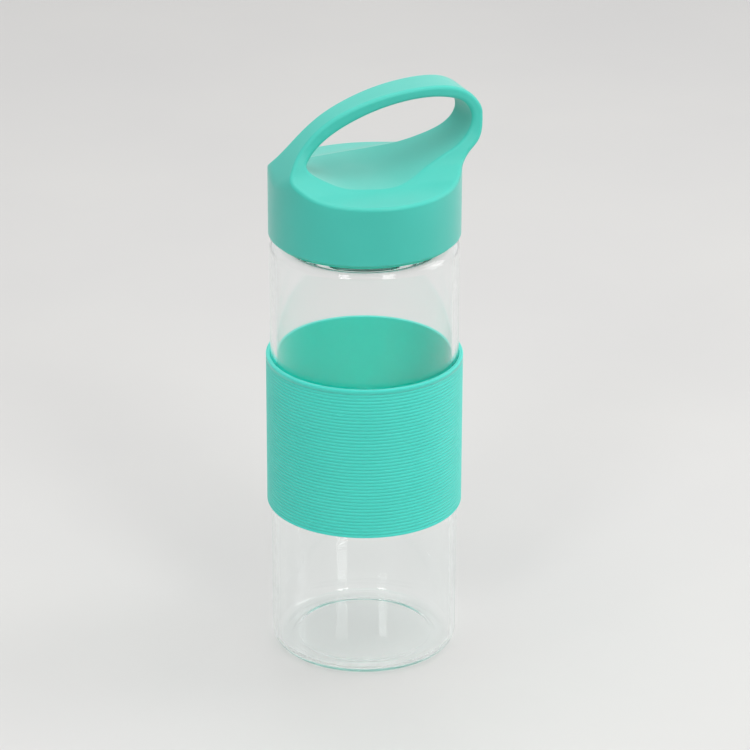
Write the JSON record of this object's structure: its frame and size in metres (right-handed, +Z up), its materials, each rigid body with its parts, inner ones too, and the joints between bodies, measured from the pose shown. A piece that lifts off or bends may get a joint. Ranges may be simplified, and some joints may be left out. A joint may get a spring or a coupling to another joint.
{
  "type": "glass water bottle",
  "caption": "Clear glass water bottle with a ribbed silicone grip round its middle and a screw cap whose top rises into a slanting carrying loop.",
  "frame": {"origin": "centre of the flat base, on the surface the bottle stands on", "axes": "+Z up the bottle's axis towards the cap; the carrying loop lies in the XZ plane and overhangs the skirt towards +X; the front faces -Y"},
  "size_m": [0.0748, 0.068, 0.2047],
  "materials": {
    "clear_glass": "clear polished borosilicate glass",
    "grip_silicone": "matt teal silicone with fine ribs",
    "cap_plastic": "satin teal moulded polypropylene",
    "insert_plastic": "teal moulded polypropylene",
    "seal_silicone": "translucent white silicone"
  },
  "bodies": {
    "bottle": {"glass_bottle": "clear_glass"},
    "grip": {"silicone_grip": "grip_silicone"},
    "seal": {"seal_ring": "seal_silicone"},
    "cap": {"cap_shell": "cap_plastic", "cap_thread_insert": "insert_plastic"}
  },
  "joints": [
    {"name": "cap_lift", "type": "slide", "parent": "bottle", "child": "seal", "axis": [0, 0, 1], "range_m": [0, 0.017]},
    {"name": "cap_turn", "type": "hinge", "parent": "seal", "child": "cap", "pos_m": [0, 0, 0.171], "axis": [0, 0, 1], "range_deg": [0, 1440]},
    {"name": "grip_slide", "type": "slide", "parent": "bottle", "child": "grip", "axis": [0, 0, 1], "range_m": [-0.05, 0.036]}
  ],
  "couplings": [
    {"joint": "cap_lift", "follows": "cap_turn", "m_per_rad": 0.00067376}
  ]
}
